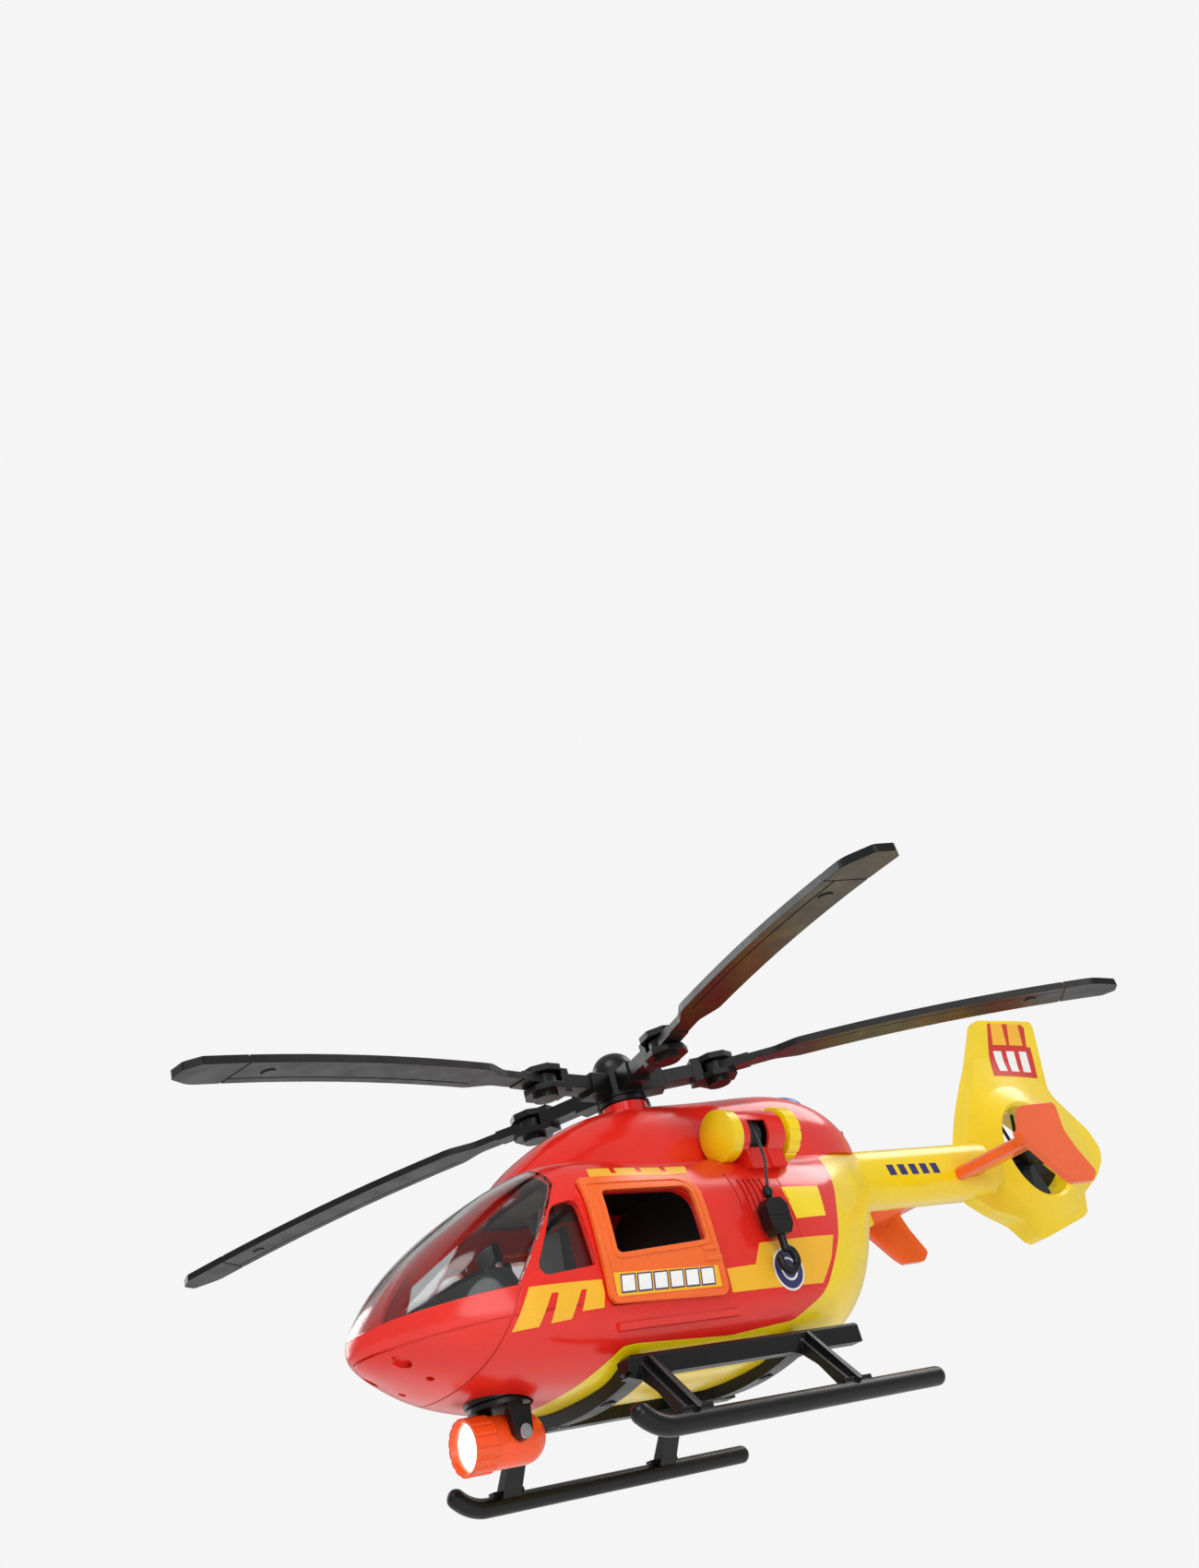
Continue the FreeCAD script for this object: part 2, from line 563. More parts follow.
def build_door(side):
    """Curved sliding door that follows the hull, with an open window."""
    y0, y1 = (0, 60) if side > 0 else (-60, 0)
    skin = hull_solid(-DOOR_OFFSET - DOOR_SKIN).cut(hull_solid(-DOOR_OFFSET))
    panel = skin.common(prism_xz(door_outline(0), y0, y1, [3, 3, 1.5, 7]))
    window = prism_xz([(12.4, 50.4), (45.4, 48.6), (44.8, 66.6), (12.0, 66.8)], y0, y1, [1.6, 1.6, 1.6, 3])
    panel = panel.cut(window)
    recess = hull_solid(-DOOR_OFFSET - DOOR_SKIN - 1).cut(hull_solid(-DOOR_OFFSET - DOOR_SKIN + 0.3))
    field = prism_xz([(10.6, 36.4), (49.4, 36.8), (48.8, 68.9), (10.4, 69.2)], y0, y1, [2.4, 2.4, 1.2, 6])
    frame = prism_xz([(11.2, 49.0), (46.8, 47.1), (46.2, 68.0), (10.8, 68.2)], y0, y1, [2.4, 2.4, 2.4, 4])
    panel = panel.cut(recess.common(field).cut(frame))
    ribs_skin = hull_solid(-DOOR_OFFSET - DOOR_SKIN - 0.1).cut(hull_solid(-DOOR_OFFSET - DOOR_SKIN + 0.5))
    ribs = []
    for z in (45.0, 48.0):
        ribs.append(ribs_skin.common(box(8.9, 15.0, y0, y1, z - 0.65, z + 0.65)))
    knob = Part.makeSphere(1.5, vec(29.5, side * 29.9, 68.9)).cut(hull_solid(-DOOR_OFFSET - 0.4))
    # lugs: a neck through the hull's slot and a head behind the wall
    neck_skin = hull_solid(-DOOR_OFFSET - 0.3).cut(hull_solid(WALL + 1.2))
    head_skin = hull_solid(WALL + 0.75).cut(hull_solid(WALL + 1.5))
    lugs = []
    for z in LUG_Z:
        lugs.append(neck_skin.common(box(LUG_X, LUG_X + 2.4, y0, y1, z - 0.5, z + 0.5)))
        lugs.append(head_skin.common(box(LUG_X, LUG_X + 2.4, y0, y1, z - 1.4, z + 1.4)))
    return panel.fuse(ribs + [knob] + lugs)


# ---- landing gear ----------------------------------------------------------
def build_landing_gear():
    halves = []
    bend_r = 14.0
    bend = radians(44.0)
    start_x = 50.0
    y = TRACK_HALF
    z = SKID_R - SKID_FLAT
    tube = cyl(SKID_R, (-49.4, y, z), (start_x, y, z))
    circle = Part.Face(Part.Wire(Part.makeCircle(SKID_R, vec(start_x, y, z), vec(1, 0, 0))))
    elbow = circle.revolve(vec(start_x, y, z + bend_r), vec(0, -1, 0), degrees(bend))
    tip = vec(start_x + bend_r * sin(bend), y, z + bend_r * (1 - cos(bend)))
    rear = Part.makeSphere(SKID_R, vec(-49.4, y, z))
    front = Part.makeSphere(SKID_R, tip)
    halves += [tube, elbow, rear, front]
    bar = prism_yz([(27.8, 17.4), (32.5, 17.4), (32.5, 22.2), (31.6, 23.0), (27.8, 23.0)], -38.3, 47.8)
    toe = prism_xz([(47.8, 17.4), (49.8, 19.0), (49.6, 22.0), (47.8, 23.0)], 27.8, 32.5)
    halves += [bar, toe]
    for x in LEG_X:
        leg = prism_yz([(27.8, 18.6), (32.5, 20.6), (46.9, 4.6), (43.4, 3.0), (36.4, 12.4), (30.6, 17.2)],
                       x - 3.2, x + 3.2, [0, 0, 0, 0, 8, 4])
        brace = prism_yz([(32.3, 21.2), (46.6, 4.8), (47.6, 5.4), (33.2, 22.2)], x - 0.7, x + 0.7)
        heel = prism_xz([(x - 3.2, 16.2), (x - 8.2, 17.6), (x - 3.2, 19.6)], 29.0, 32.4)
        heel2 = prism_xz([(x + 3.2, 16.2), (x + 8.2, 17.6), (x + 3.2, 19.6)], 29.0, 32.4)
        foot = box(x - 5.4, x + 5.4, 43.9, 46.5, 3.0, 6.2)
        halves += [leg, brace, foot, heel, heel2]
    shapes = halves + [mirrored(s) for s in halves]
    for x in LEG_X:
        shapes.append(cross_member(x))
    gear_body = fuse_all(shapes)
    gear_body = gear_body.cut([hull_solid(-0.05), box(-80, 80, -60, 60, -5, 0)])
    for x, y in GEAR_SCREWS:
        gear_body = gear_body.cut(gear_screw_hole(x, y))
    return gear_body


LEG_X = (42.6, -16.6)
GEAR_SCREWS = [(42.6, 11.0), (42.6, -11.0), (-16.6, 11.0), (-16.6, -11.0)]


def cross_member(x):
    """Shallow arch that hugs the belly from one step bar to the other."""
    top = Part.Arc(vec(x, -28.2, 23.0), vec(x, 0, 18.8), vec(x, 28.2, 23.0)).toShape()
    low = Part.Arc(vec(x, 28.2, 18.4), vec(x, 0, 14.9), vec(x, -28.2, 18.4)).toShape()
    ends = [Part.makeLine(vec(x, 28.2, 23.0), vec(x, 28.2, 18.4)),
            Part.makeLine(vec(x, -28.2, 18.4), vec(x, -28.2, 23.0))]
    face = Part.Face(Part.Wire([top, ends[0], low, ends[1]]))
    band = face.extrude(vec(6.4, 0, 0))
    return moved(band, -3.2, 0, 0)


def gear_screw_hole(x, y):
    return cyl(2.3, (x, y, 10), (x, y, 16.6)).fuse(cyl(1.2, (x, y, 10), (x, y, 24)))


def gear_screw(x, y):
    head = cyl(2.2, (x, y, 15.2), (x, y, 16.6))
    shank = cyl(1.2, (x, y, 16.6), (x, y, 24))
    slot_a = box(x - 1.4, x + 1.4, y - 0.3, y + 0.3, 15.0, 15.9)
    slot_b = box(x - 0.3, x + 0.3, y - 1.4, y + 1.4, 15.0, 15.9)
    return head.fuse(shank).cut([slot_a, slot_b])


# ---- tub, with the works it carries ---------------------------------------
BATTERY_X = (-12.0, 38.4)
BATTERY_Y = 17.2
BATTERY_Z = 31.4
CELL_R = 5.1
CELL_Z = 26.0
CELL_PITCH = 10.9
SPEAKER = (-46.0, 0.0)
SPEAKER_R = 9.5
SPEAKER_Z = 29.0
HULL_SCREWS = [(-33.0, 16.0), (-33.0, -16.0)]
HULL_SCREW_Z = 22.6
BUTTON_Z = 62.0
SWITCH_X = -28.6


def cover_outline(grow):
    x0, x1 = BATTERY_X
    half = BATTERY_Y - 1.0
    return prism_xy([(x0 + 1 - grow, -half - grow), (x1 - 1 + grow, -half - grow),
                     (x1 - 1 + grow, half + grow), (x0 + 1 - grow, half + grow)], 0, 30, 2.5)


def build_tub():
    """Yellow lower moulding: belly, rear end and the posts inside it."""
    tub = hull_outer.cut(hull_inner).common(tub_tool)
    inside = hull_solid(WALL - 0.3)
    posts = []
    for x, y in GEAR_SCREWS:
        posts.append(cyl(3.0, (x, y, 19), (x, y, 28)))
    for x, y in HULL_SCREWS:
        posts.append(cyl(3.2, (x, y, 19), (x, y, 34)))
    speaker_wall = cyl(SPEAKER_R + 1.2, (*SPEAKER, 18), (*SPEAKER, SPEAKER_Z)).cut(
        cyl(SPEAKER_R - 0.8, (*SPEAKER, 17), (*SPEAKER, SPEAKER_Z + 1)))
    tub = tub.fuse([p.common(inside) for p in posts + [speaker_wall]])
    tub = tub.cut(cover_outline(0.15))
    holes = [cyl(1.2, (x, y, 10), (x, y, 25)) for x, y in GEAR_SCREWS]
    for x, y in HULL_SCREWS:
        holes.append(hull_screw_form(x, y))
        holes.append(cyl(2.3, (x, y, 10), (x, y, HULL_SCREW_Z)))
    for i in range(7):
        a = radians(60.0 * i)
        r = 0.0 if i == 6 else 4.6
        x, y = SPEAKER[0] + r * cos(a), SPEAKER[1] + r * sin(a)
        holes.append(cyl(0.9, (x, y, 10), (x, y, 28)))
    holes.append(box(SWITCH_X - 3.2, SWITCH_X + 3.2, -1.8, 1.8, 10, 24))
    holes.append(box(-110, -80, -3.7, 3.7, BUTTON_Z - 3.2, BUTTON_Z + 3.2))
    tub = tub.cut(holes)
    return tub.removeSplitter()


def hull_screw_form(x, y):
    z = HULL_SCREW_Z
    head = cyl(2.2, (x, y, z), (x, y, z + 1.4))
    return head.fuse(cyl(1.0, (x, y, z + 1.4), (x, y, z + 8.0)))


def build_battery_cover():
    plate = hull_outer.cut(hull_solid(1.5)).common(cover_outline(0.0))
    grips = []
    for i in range(4):
        x = 29.0 + 1.6 * i
        grips.append(box(x, x + 0.7, -4.0, 4.0, 17.0, 18.8))
    return plate.cut(grips)


def build_battery_box():
    x0, x1 = BATTERY_X
    body = box(x0, x1, -BATTERY_Y, BATTERY_Y, 19, BATTERY_Z)
    cavity = box(x0 + 1, x1 - 1, -BATTERY_Y + 1, BATTERY_Y - 1, 18, BATTERY_Z - 0.3)
    body = body.cut(cavity)
    for i in (-1, 1):
        wall = box(x0 + 1, x1 - 1, i * CELL_PITCH / 2.0 - 0.2, i * CELL_PITCH / 2.0 + 0.2, 24, BATTERY_Z)
        body = body.fuse(wall)
    lid = box(x0, x1, -BATTERY_Y, BATTERY_Y, BATTERY_Z - 0.3, BATTERY_Z)
    return body.fuse(lid).common(hull_inner).cut(hull_solid(0).cut(hull_solid(WALL))).removeSplitter()


def build_batteries():
    cells = []
    for i in (-1, 0, 1):
        way = -1 if i == 0 else 1
        y = i * CELL_PITCH
        x0, x1 = -8.2, 34.4
        cell = cyl(CELL_R, (x0, y, CELL_Z), (x1, y, CELL_Z))
        if way > 0:
            nub = cyl(1.9, (x1, y, CELL_Z), (x1 + 1.0, y, CELL_Z))
        else:
            nub = cyl(1.9, (x0, y, CELL_Z), (x0 - 1.0, y, CELL_Z))
        cells.append(cell.fuse(nub))
    return Part.makeCompound(cells)


def build_battery_contacts():
    """Conical springs on the flat ends and plates on the buttons."""
    parts = []
    for i in (-1, 0, 1):
        y = i * CELL_PITCH
        front_is_button = i != 0
        for at_front in (True, False):
            wall_x = BATTERY_X[1] - 1.0 if at_front else BATTERY_X[0] + 1.0
            way = -1 if at_front else 1
            plate = box(min(wall_x, wall_x + way * 0.4), max(wall_x, wall_x + way * 0.4),
                        y - 3.6, y + 3.6, CELL_Z - 3.6, CELL_Z + 3.6)
            if front_is_button == at_front:
                tip = 35.5 if at_front else -9.3
                pad = cyl(1.6, (wall_x + way * 0.3, y, CELL_Z), (tip, y, CELL_Z))
            else:
                tip = 34.5 if at_front else -8.3
                pad = cone(3.2, 1.8, (wall_x + way * 0.3, y, CELL_Z), (tip, y, CELL_Z))
            parts.append(plate.fuse(pad))
    return Part.makeCompound(parts)


def build_circuit_board():
    board = box(-64.0, -62.4, -40, 40, 45.0, 76.0).common(hull_inner)
    parts = [
        box(-62.5, -61.0, -4.5, 4.5, 52.0, 58.0),
        box(-62.5, -60.4, 8.0, 12.0, 60.0, 66.0),
        cyl(2.2, (-62.5, -10.0, 62.0), (-55.0, -10.0, 62.0)),
        box(-67.2, -63.9, -3.0, 3.0, BUTTON_Z - 3.0, BUTTON_Z + 3.0),
        cyl(1.5, (-67.9, 0, BUTTON_Z), (-67.0, 0, BUTTON_Z)),
    ]
    return fuse_all([board] + parts)


def build_rear_button():
    """Push button through the tub's rear slope, with a stem to the switch inside."""
    cap = prism_xz([(-94.2, BUTTON_Z - 2.4), (-94.2, BUTTON_Z + 2.4), (-93.4, BUTTON_Z + 2.9),
                    (-84.0, BUTTON_Z + 2.9), (-84.0, BUTTON_Z - 2.9), (-93.4, BUTTON_Z - 2.9)], -3.4, 3.4)
    stem = box(-84.0, -69.6, -1.5, 1.5, BUTTON_Z - 1.5, BUTTON_Z + 1.5)
    return cap.fuse(stem)


def build_speaker():
    x, y = SPEAKER
    frame = cyl(SPEAKER_R + 1.0, (x, y, SPEAKER_Z), (x, y, SPEAKER_Z + 1.4))
    magnet = cyl(6.2, (x, y, SPEAKER_Z + 1.4), (x, y, SPEAKER_Z + 5.4))
    hollow = cone(6.5, 2.5, (x, y, SPEAKER_Z - 0.01), (x, y, SPEAKER_Z + 1.2))
    return frame.fuse(magnet).cut(hollow)


def build_switch_body():
    body = box(SWITCH_X - 5.5, SWITCH_X + 5.5, -3.4, 3.4, 21.2, 26.0).common(hull_inner)
    return body.cut(box(SWITCH_X - 3.4, SWITCH_X + 3.4, -1.9, 1.9, 20.0, 22.6))


def build_power_switch():
    foot = box(SWITCH_X - 2.9, SWITCH_X + 0.1, -1.4, 1.4, 17.9, 22.2)
    ridges = []
    for i in range(3):
        x = SWITCH_X - 2.5 + 0.9 * i
        ridges.append(box(x, x + 0.4, -1.5, 1.5, 17.0, 18.3))
    return foot.cut(ridges)


# ---- drive -----------------------------------------------------------------
GEAR_MODULE = 0.5
MAIN_TEETH = 48
PINION_TEETH = 12
GEAR_Z = (86.6, 89.4)
FRAME_Z = (82.6, 84.6)
MOTOR_X = -(MAIN_TEETH + PINION_TEETH) * GEAR_MODULE / 2.0
MOTOR_R = 7.4


def build_main_gear():
    wheel = gear(MAIN_TEETH, GEAR_MODULE, MAST_R, GEAR_Z[0], GEAR_Z[1], (0, 0), 0.0)
    boss = cyl(4.4, (0, 0, GEAR_Z[0] - 0.8), (0, 0, GEAR_Z[1] + 0.5)).cut(
        cyl(MAST_R, (0, 0, 80), (0, 0, 95)))
    holes = []
    for i in range(6):
        a = radians(60.0 * i + 30)
        holes.append(cyl(1.7, (8.0 * cos(a), 8.0 * sin(a), 80), (8.0 * cos(a), 8.0 * sin(a), 95)))
    return wheel.fuse(boss).cut(holes)


def build_pinion():
    """Pinion on the motor's shaft."""
    half_step = pi / PINION_TEETH
    wheel = gear(PINION_TEETH, GEAR_MODULE, 0.8, GEAR_Z[0] - 0.4, GEAR_Z[1] + 0.4, (MOTOR_X, 0), half_step)
    return wheel.fuse(cyl(0.8, (MOTOR_X, 0, FRAME_Z[0] + 1.6), (MOTOR_X, 0, GEAR_Z[1] + 1.0)))


def build_gear_frame():
    """Plate across the engine bay: foot bearing of the mast and seat of the motor."""
    cavity = hull_inner.fuse(cowl_inner)
    plate = box(-26.0, 10.0, -30, 13, FRAME_Z[0], FRAME_Z[1]).common(cavity)
    plate = plate.common(cowl_inner)
    plate = plate.cut([cyl(MAST_R + SHAFT_CLEARANCE, (0, 0, 80), (0, 0, 90)),
                       cyl(3.2, (MOTOR_X, 0, 80), (MOTOR_X, 0, 90))])
    foot = cyl(4.2, (0, 0, 80.4), (0, 0, FRAME_Z[0])).cut(
        cyl(MAST_R + SHAFT_CLEARANCE, (0, 0, 81.4), (0, 0, 90)))
    return plate.fuse(foot)


def build_motor():
    can = cyl(MOTOR_R, (MOTOR_X, 0, 58.0), (MOTOR_X, 0, FRAME_Z[0]))
    neck = cyl(3.0, (MOTOR_X, 0, FRAME_Z[0]), (MOTOR_X, 0, FRAME_Z[0] + 1.4))
    tail = cyl(2.6, (MOTOR_X, 0, 56.6), (MOTOR_X, 0, 58.0))
    flats = [box(MOTOR_X - 9, MOTOR_X + 9, 5.6, 9, 50, 90), box(MOTOR_X - 9, MOTOR_X + 9, -9, -5.6, 50, 90)]
    return can.fuse([neck, tail]).cut(flats)


# ---- rotor -----------------------------------------------------------------
PLATE_LOW = (107.2, 109.05)
PLATE_TOP = (112.95, 114.9)
ARM_END = 28.4
FORK_FLAT = 6.4


def arm_angle(i):
    return ROTOR_PHASE + 360.0 / BLADE_COUNT * i


def octagon(flat, centre_x):
    corner = flat / cos(pi / 8)
    angles = [pi / 8 + pi / 4 * i for i in range(8)]
    return [(centre_x + corner * cos(a), corner * sin(a)) for a in angles]


def build_hub():
    """Five arms, each ending in a fork of two eight-sided plates."""
    parts = [cyl(8.0, (0, 0, 106.6), (0, 0, 115.0))]
    cuts = [cyl(MAST_R, (0, 0, 100), (0, 0, 112.4))]
    for i in range(BLADE_COUNT):
        a = arm_angle(i)
        arm = box(4.0, ARM_END, -3.4, 3.4, 108.8, 113.2)
        root = box(4.0, 15.0, -3.9, 3.9, 107.6, 114.2)
        web = box(ARM_END - 3.4, ARM_END, -3.6, 3.6, PLATE_LOW[0], PLATE_TOP[1])
        low = prism_xy(octagon(FORK_FLAT, SCREW_CIRCLE_R), *PLATE_LOW)
        top = prism_xy(octagon(FORK_FLAT, SCREW_CIRCLE_R), *PLATE_TOP)
        boss = cyl(4.0, (SCREW_CIRCLE_R, 0, 105.6), (SCREW_CIRCLE_R, 0, PLATE_LOW[0]))
        groove = box(16.5, ARM_END - 4.4, -1.6, 1.6, 112.5, 114)
        for shape in (arm, root, web, low, top, boss):
            parts.append(turned(shape, a))
        cuts.append(turned(groove, a))
        cuts.append(turned(blade_screw_form(), a))
        cuts.append(turned(cyl(2.9, (SCREW_CIRCLE_R, 0, 114.2), (SCREW_CIRCLE_R, 0, 116)), a))
    hub = parts[0].fuse(parts[1:]).cut(cuts)
    return hub.removeSplitter()


def blade_screw_form():
    head = cyl(2.8, (SCREW_CIRCLE_R, 0, 113.5), (SCREW_CIRCLE_R, 0, 114.4))
    shank = cyl(1.6, (SCREW_CIRCLE_R, 0, 106.6), (SCREW_CIRCLE_R, 0, 113.5))
    return head.fuse(shank)


def build_blade_screws():
    screws = []
    cross = box(SCREW_CIRCLE_R - 1.7, SCREW_CIRCLE_R + 1.7, -0.35, 0.35, 113.9, 115)
    cross = cross.fuse(turned(cross, 90, (SCREW_CIRCLE_R, 0, 0)))
    one = blade_screw_form().cut(cross)
    for i in range(BLADE_COUNT):
        screws.append(turned(one, arm_angle(i)))
    return Part.makeCompound(screws)


def build_hub_cap():
    """Black dome over the mast's nut, on a short collar."""
    profile = [vec(0, 0, 115.0), vec(7.0, 0, 115.0), vec(7.0, 0, 116.6)]
    edges = [Part.makeLine(profile[0], profile[1]), Part.makeLine(profile[1], profile[2]),
             Part.Arc(profile[2], vec(5.6, 0, 120.4), vec(2.6, 0, 122.4)).toShape(),
             Part.makeLine(vec(2.6, 0, 122.4), vec(0, 0, 122.5)),
             Part.makeLine(vec(0, 0, 122.5), profile[0])]
    return Part.Face(Part.Wire(edges)).revolve(vec(0, 0, 0), vec(0, 0, 1), 360)


def build_swash():
    disc = cyl(8.2, (0, 0, 104.6), (0, 0, 106.2))
    disc = disc.fuse(cyl(5.0, (0, 0, 106.2), (0, 0, 106.6)))
    return disc.cut(cyl(MAST_R, (0, 0, 100), (0, 0, 110)))


def blade_planform():
    """Seen from above, the screw at the origin and the tip along +X."""
    tip = ROTOR_R - SCREW_CIRCLE_R
    half = BLADE_CHORD / 2.0
    points = [(0, 3.25), (0, -3.25), (20.5, -3.25), (28.5, -half), (tip - 8.0, -half),
              (tip - 0.2, -half + 4.2), (tip, half - 3.0), (tip - 3.6, half), (28.5, half), (20.5, 3.25)]
    radii = [0, 0, 8, 8, 10, 1.5, 1.2, 1.6, 8, 8]
    return prism_xy(points, -30, 20, radii)


def bent_band(thickness, length, rise=0.0):
    """Strip that droops more and more towards the tip, seen from the side."""
    full = ROTOR_R - SCREW_CIRCLE_R

    def droop(x):
        return -BLADE_DROOP * (x / full) ** 2 + rise
    half = thickness / 2.0
    top = Part.Arc(vec(-6, -20, droop(0) + half), vec(length / 2.0, -20, droop(length / 2.0) + half),
                   vec(length, -20, droop(length) + half)).toShape()
    low = Part.Arc(vec(length, -20, droop(length) - half), vec(length / 2.0, -20, droop(length / 2.0) - half),
                   vec(-6, -20, droop(0) - half)).toShape()
    ends = [Part.makeLine(vec(length, -20, droop(length) + half), vec(length, -20, droop(length) - half)),
            Part.makeLine(vec(-6, -20, droop(0) - half), vec(-6, -20, droop(0) + half))]
    return Part.Face(Part.Wire([top, ends[0], low, ends[1]])).extrude(vec(0, 40, 0))


def build_blade():
    tip = ROTOR_R - SCREW_CIRCLE_R
    blade = blade_planform().common(bent_band(BLADE_THICK, tip + 4))
    eye = cyl(4.5, (0, 0, -1.65), (0, 0, 1.65))
    root = box(0, 12.0, -3.25, 3.25, -1.5, 1.5)
    spot = cyl(2.0, (tip - 28.0, 0, -30), (tip - 28.0, 0, 20)).common(bent_band(BLADE_THICK + 0.6, tip + 4))
    blade = blade.fuse([eye, root, spot])
    # shallow groove across the chord and a step along the trailing edge, top side
    groove = box(tip - 18.0, tip - 17.4, -20, 20, -30, 20).cut(bent_band(BLADE_THICK - 0.5, tip + 10))
    trail = box(30.0, tip - 18.0, -3.6, -3.1, -30, 20).cut(bent_band(BLADE_THICK - 0.5, tip + 10))
    blade = blade.cut([groove, trail, cyl(1.65, (0, 0, -3), (0, 0, 3))])
    return moved(blade, SCREW_CIRCLE_R, 0, HUB_Z)


def placed_blade(blade, i):
    hung = turned(blade, BLADE_LAG[i], (SCREW_CIRCLE_R, 0, 0))
    return turned(hung, arm_angle(i))


# ---- winch and hook --------------------------------------------------------
def build_winch_housing():
    """Red tube on a saddle, open at the side where the cord leaves."""
    x0, x1 = WINCH_X
    axis = (WINCH_Y, WINCH_Z)
    tube = cyl(WINCH_R, (x0, *axis), (x1, *axis)).cut(
        cyl(WINCH_R - WINCH_WALL, (x0 - 1, *axis), (x1 - 1.6, *axis)))
    saddle = prism_yz([(14.0, 72.0), (31.0, 72.0), (30.4, 79.4), (26.0, 80.0), (20.0, 86.0), (14.0, 88.0)],
                      -32.6, -17.6)
    saddle = saddle.cut(cyl(WINCH_R - WINCH_WALL, (-60, *axis), (0, *axis)))
    body = tube.fuse(saddle).cut(hull_outer.fuse(cowl_outer))
    window = box(WINDING_X[0] + 0.9, WINDING_X[1] - 0.6, WINCH_Y + 1.5, 60, 60, WINCH_Z + 2.4)
    body = body.cut(window.cut(box(-60, 0, 0, WINCH_Y + 4.0, 0, WINCH_Z - 4.0)))
    return body.cut(cyl(1.6 + SHAFT_CLEARANCE, (-60, *axis), (x1 + 1, *axis)))


def build_winch_cap():
    x1 = WINCH_X[1]
    dome = Part.makeSphere(18.0, vec(x1 + 5.9 - 18.0, WINCH_Y, WINCH_Z))
    disc = cyl(8.1, (x1, WINCH_Y, WINCH_Z), (x1 + 8, WINCH_Y, WINCH_Z))
    cap = disc.common(dome).cut(hull_outer.fuse(cowl_outer))
    return cap.cut(cyl(2.0, (x1 - 1, WINCH_Y, WINCH_Z), (x1 + 1.2, WINCH_Y, WINCH_Z)))


def build_winch_drum():
    """Spool, its two flanges and the shaft in one piece."""
    axis = (WINCH_Y, WINCH_Z)
    a, b = WINDING_X
    spool = cyl(DRUM_R, (a, *axis), (b, *axis))
    rear = cyl(FLANGE_R, (a - 0.9, *axis), (a, *axis))
    front = cyl(FLANGE_R, (b, *axis), (b + 0.7, *axis))
    shaft = cyl(1.6, (KNOB_X[1] - 3.0, *axis), (WINCH_X[1] + 0.8, *axis))
    return fuse_all([spool, rear, front, shaft])


def build_winch_knob():
    axis = (WINCH_Y, WINCH_Z)
    rear, front = KNOB_X
    grip = scalloped_disc(8.6, 0.35, 14, rear, front, axis)
    collar = cyl(6.2, (front, *axis), (WINCH_X[0] - 0.4, *axis))
    dish = cone(6.4, 5.6, (rear - 0.1, *axis), (rear + 0.8, *axis))
    return grip.fuse(collar).cut([dish, cyl(1.6, (front - 3.0, *axis), (front + 6, *axis))])


def winding_radius(layer):
    return DRUM_R + CORD_D / 2.0 + layer * 0.95


def build_winding():
    axis = (WINCH_Y, WINCH_Z)
    outer = winding_radius(WINDING_LAYERS - 1) + CORD_D / 2.0
    a, b = WINDING_X
    return cyl(outer, (a, *axis), (b, *axis)).cut(cyl(DRUM_R, (a - 1, *axis), (b + 1, *axis)))


def tube_along(route, diameter):
    """Round cord: straight runs joined by arcs that touch both of them."""
    points = [vec(*p) for p in route]
    edges = []
    bends = []
    last = points[0]
    for i in range(1, len(points) - 1):
        p = points[i]
        before, after = points[i - 1] - p, points[i + 1] - p
        shorter = min(before.Length, after.Length)
        ub, ua = before.normalize(), after.normalize()
        half_turn = (pi - ub.getAngle(ua)) / 2.0
        reach = 0.45 * shorter
        radius = reach / tan(half_turn)
        bends.append(radius)
        start, end = p + ub * reach, p + ua * reach
        way = (ub + ua).normalize()
        centre = p + way * (radius / cos(half_turn))
        middle = centre - way * radius
        edges.append(Part.makeLine(last, start))
        edges.append(Part.Arc(start, middle, end).toShape())
        last = end
    edges.append(Part.makeLine(last, points[-1]))
    path = Part.Wire(edges)
    first = (points[1] - points[0]).normalize()
    ring = Part.Wire(Part.makeCircle(diameter / 2.0, points[0], first))
    tube = path.makePipeShell([ring], True, True)
    return tube, bends


def build_knot():
    knot = Part.makeSphere(1.0)
    stretch = FreeCAD.Matrix()
    stretch.scale(vec(1.6, 1.6, 2.0))
    return moved(knot.transformGeometry(stretch), HOOK_X, HOOK_Y, KNOT_Z)


def build_hook_block():
    x, y = HOOK_X, HOOK_Y
    z0, z1 = BLOCK_Z
    body = prism_xz([(x - 2.6, z0), (x + 2.6, z0), (x + 4.3, z0 + 2.6), (x + 4.3, z1 - 2.0), (x + 2.4, z1),
                     (x - 2.4, z1), (x - 4.3, z1 - 2.0), (x - 4.3, z0 + 2.6)], y - 2.2, y + 2.2)
    line = box(x - 5, x + 5, y + 1.9, y + 3, z0 + 5.0, z0 + 5.4)
    return body.cut([line, cyl(HOOK_WIRE_R, (x, y, z0 - 1), (x, y, z0 + 3.0))])


def build_hook():
    """Bent wire hook on a straight shank."""
    x, y = HOOK_X, HOOK_Y
    circle = Part.makeCircle(HOOK_WIRE_R, vec(x, y, HOOK_RING_Z + HOOK_RING_R), vec(1, 0, 0))
    ring = Part.Face(Part.Wire(circle))
    bow = ring.revolve(vec(x, y, HOOK_RING_Z), vec(0, 1, 0), -285)
    shank = cyl(HOOK_WIRE_R, (x, y, HOOK_RING_Z + HOOK_RING_R), (x, y, BLOCK_Z[0] + 3.0))
    end_angle = radians(285)
    tip = Part.makeSphere(HOOK_WIRE_R, vec(x - HOOK_RING_R * sin(end_angle), y,
                                           HOOK_RING_Z + HOOK_RING_R * cos(end_angle)))
    top = Part.makeSphere(HOOK_WIRE_R, vec(x, y, HOOK_RING_Z + HOOK_RING_R))
    return fuse_all([bow, shank, tip, top])


